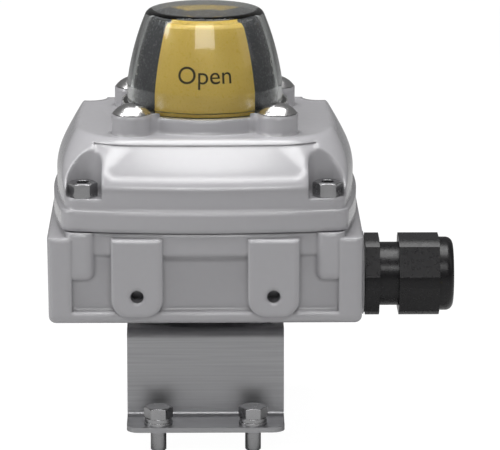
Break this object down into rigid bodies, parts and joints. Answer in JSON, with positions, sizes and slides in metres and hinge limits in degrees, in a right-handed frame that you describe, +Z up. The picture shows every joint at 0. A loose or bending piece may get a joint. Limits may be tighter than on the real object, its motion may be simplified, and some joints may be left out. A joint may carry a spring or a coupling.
{
  "type": "valve limit switch box",
  "caption": "Valve position switch box on a folded bracket: cast housing and lid, clear domed window with a turning indicator drum, cams and switches inside, cable gland",
  "frame": {"origin": "on the drive shaft's axis, level with the underside of the bracket's feet (the face that rests on the actuator)", "axes": "+X to the cable gland, +Y to the back, +Z up the shaft towards the indicator; the two lugs face -Y"},
  "size_m": [0.1283, 0.0933, 0.1353],
  "materials": {
    "grey_coat": "satin powder coat over die-cast aluminium",
    "stainless_sheet": "brushed stainless sheet",
    "stainless_fastener": "turned stainless steel",
    "chrome_screw": "bright plated",
    "black_plastic": "black polyamide, fine grain",
    "black_rubber": "black nitrile rubber",
    "clear_lens": "clear polycarbonate",
    "drum_grey": "dark grey moulded plastic",
    "panel_yellow": "ochre yellow moulded plastic",
    "cam_red": "red acetal",
    "cam_green": "green acetal",
    "board": "green solder mask on glass-fibre board",
    "switch_case": "black phenolic",
    "insulator": "fish paper",
    "terminal_green": "green polyamide",
    "spring_steel": "polished spring steel",
    "brass": "turned brass",
    "bronze": "sintered bronze"
  },
  "bodies": {
    "housing": {"mounting_bracket": "stainless_sheet", "foot_bolts": "stainless_fastener", "foot_spring_washers": "stainless_fastener", "foot_plain_washers": "stainless_fastener", "bracket_screws": "stainless_fastener", "bracket_spring_washers": "stainless_fastener", "base_housing": "grey_coat", "shaft_bush": "bronze", "lid_gasket": "black_rubber", "circuit_board": "board", "board_screws": "stainless_fastener", "lower_switch": "switch_case", "upper_switch": "switch_case", "switch_insulator": "insulator", "switch_screws": "stainless_fastener", "terminal_block": "terminal_green", "terminal_screws": "stainless_fastener", "earth_screw": "brass", "earth_washer": "brass", "gland_washer": "black_rubber", "gland_body": "black_plastic", "gland_nut": "black_plastic", "gland_seal": "black_rubber"},
    "shaft": {"drive_shaft": "stainless_fastener", "shaft_o_rings": "black_rubber", "shaft_circlip": "spring_steel", "lower_cam": "cam_red", "upper_cam": "cam_green", "cam_spring": "spring_steel", "cam_top_ring": "stainless_fastener"},
    "lower_lever": {"lower_switch_lever": "spring_steel"},
    "upper_lever": {"upper_switch_lever": "spring_steel"},
    "lid": {"lid": "grey_coat", "lid_bolts": "stainless_fastener", "lens": "clear_lens", "lens_gasket": "black_rubber", "lens_screws": "chrome_screw"},
    "indicator": {"indicator_drum": "drum_grey", "open_panels": "panel_yellow", "indicator_clip": "spring_steel"}
  },
  "joints": [
    {"name": "shaft_turn", "type": "hinge", "parent": "housing", "child": "shaft", "pos_m": [0, 0, 0.035], "axis": [0, 0, 1], "range_deg": [0, 90]},
    {"name": "lid_lift", "type": "slide", "parent": "housing", "child": "lid", "axis": [0, 0, 1], "range_m": [0, 0.05]},
    {"name": "indicator_turn", "type": "hinge", "parent": "lid", "child": "indicator", "pos_m": [0, 0, 0.087], "axis": [0, 0, 1], "range_deg": [0, 90]},
    {"name": "lower_lever_swing", "type": "hinge", "parent": "housing", "child": "lower_lever", "pos_m": [-0.0148, 0.0174, 0.04975], "axis": [0, 0, 1], "range_deg": [0, 7]},
    {"name": "upper_lever_swing", "type": "hinge", "parent": "housing", "child": "upper_lever", "pos_m": [-0.0148, 0.0174, 0.06045], "axis": [0, 0, 1], "range_deg": [-7, 0]}
  ],
  "couplings": [
    {"joint": "indicator_turn", "follows": "shaft_turn", "ratio": 1},
    {"joint": "lower_lever_swing", "follows": "shaft_turn", "ratio": 0.077778},
    {"joint": "upper_lever_swing", "follows": "shaft_turn", "ratio": -0.077778}
  ]
}
